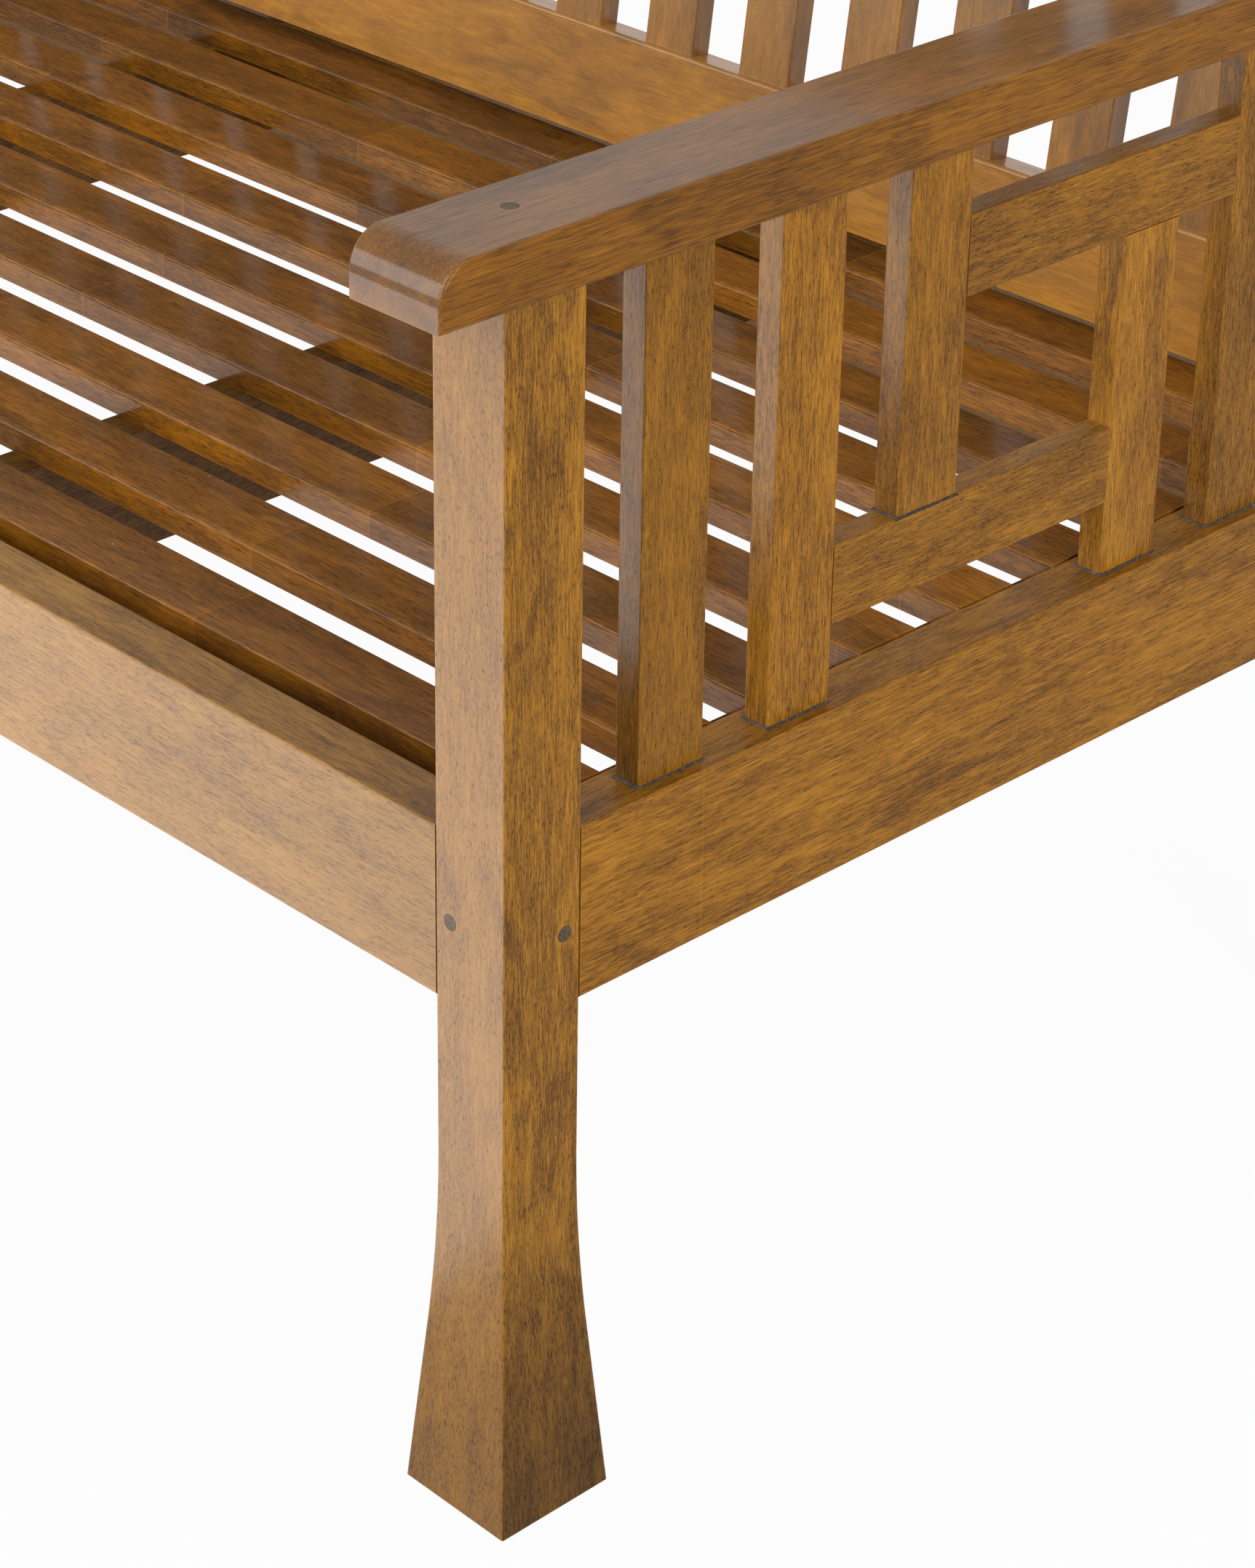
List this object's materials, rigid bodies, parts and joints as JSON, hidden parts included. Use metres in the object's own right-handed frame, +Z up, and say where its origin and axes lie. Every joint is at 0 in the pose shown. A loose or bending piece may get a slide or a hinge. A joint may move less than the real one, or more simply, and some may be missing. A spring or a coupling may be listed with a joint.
{
  "type": "mission settle",
  "caption": "Long slatted wooden mission settle with flared post legs, wide flat arms over slatted side panels, a slatted seat deck and a leaning slatted back frame.",
  "frame": {"origin": "on the floor, midway between the extreme front, rear and sides", "axes": "+Z up, +X along the seat to the right as seen by one who looks at its front, +Y from the front to the back"},
  "size_m": [1.9274, 0.7618, 0.8788],
  "materials": {
    "leg_wood": "satin lacquer over brown stain, fine open pores",
    "rail_wood": "satin lacquer over brown stain, fine open pores",
    "arm_wood": "satin lacquer over brown stain, fine open pores",
    "panel_wood": "satin lacquer over brown stain, fine open pores",
    "seat_wood": "satin lacquer over brown stain, fine open pores",
    "hidden_wood": "thin brown stain, little lacquer",
    "back_wood": "satin lacquer over brown stain, fine open pores",
    "plug_wood": "end grain, dark stain, satin lacquer",
    "dowel_wood": "bare",
    "steel": "zinc plated",
    "brass": "plain"
  },
  "bodies": {
    "root": {"arm_cross_rail_lower_left": "panel_wood", "arm_cross_rail_lower_right": "panel_wood", "arm_cross_rail_upper_left": "panel_wood", "arm_cross_rail_upper_right": "panel_wood", "arm_left": "arm_wood", "arm_plugs": "plug_wood", "arm_right": "arm_wood", "arm_screws": "steel", "arm_slat_left_1": "panel_wood", "arm_slat_left_2": "panel_wood", "arm_slat_left_3": "panel_wood", "arm_slat_left_4": "panel_wood", "arm_slat_left_5": "panel_wood", "arm_slat_left_6": "panel_wood", "arm_slat_right_1": "panel_wood", "arm_slat_right_2": "panel_wood", "arm_slat_right_3": "panel_wood", "arm_slat_right_4": "panel_wood", "arm_slat_right_5": "panel_wood", "arm_slat_right_6": "panel_wood", "back_bolts": "steel", "back_bottom_rail": "back_wood", "back_slats_1": "back_wood", "back_slats_2": "back_wood", "back_slats_3": "back_wood", "back_slats_4": "back_wood", "back_slats_5": "back_wood", "back_slats_6": "back_wood", "back_slats_7": "back_wood", "back_stile_left": "back_wood", "back_stile_right": "back_wood", "back_top_rail": "back_wood", "bolt_inserts": "brass", "cleat_screws": "steel", "front_leg_left": "leg_wood", "front_leg_right": "leg_wood", "front_rail": "rail_wood", "rail_pins": "plug_wood", "rear_leg_left": "leg_wood", "rear_leg_right": "leg_wood", "rear_rail": "rail_wood", "seat_bearer_1": "hidden_wood", "seat_bearer_2": "hidden_wood", "seat_bearer_3": "hidden_wood", "seat_cleat_left": "hidden_wood", "seat_cleat_right": "hidden_wood", "seat_dowels": "dowel_wood", "seat_slat_1": "seat_wood", "seat_slat_2": "seat_wood", "seat_slat_3": "seat_wood", "seat_slat_4": "seat_wood", "seat_slat_5": "seat_wood", "seat_slat_6": "seat_wood", "seat_slat_7": "seat_wood", "seat_slat_8": "seat_wood", "seat_slat_9": "seat_wood", "side_rail_left": "rail_wood", "side_rail_right": "rail_wood", "slat_screws": "steel"}
  },
  "joints": []
}
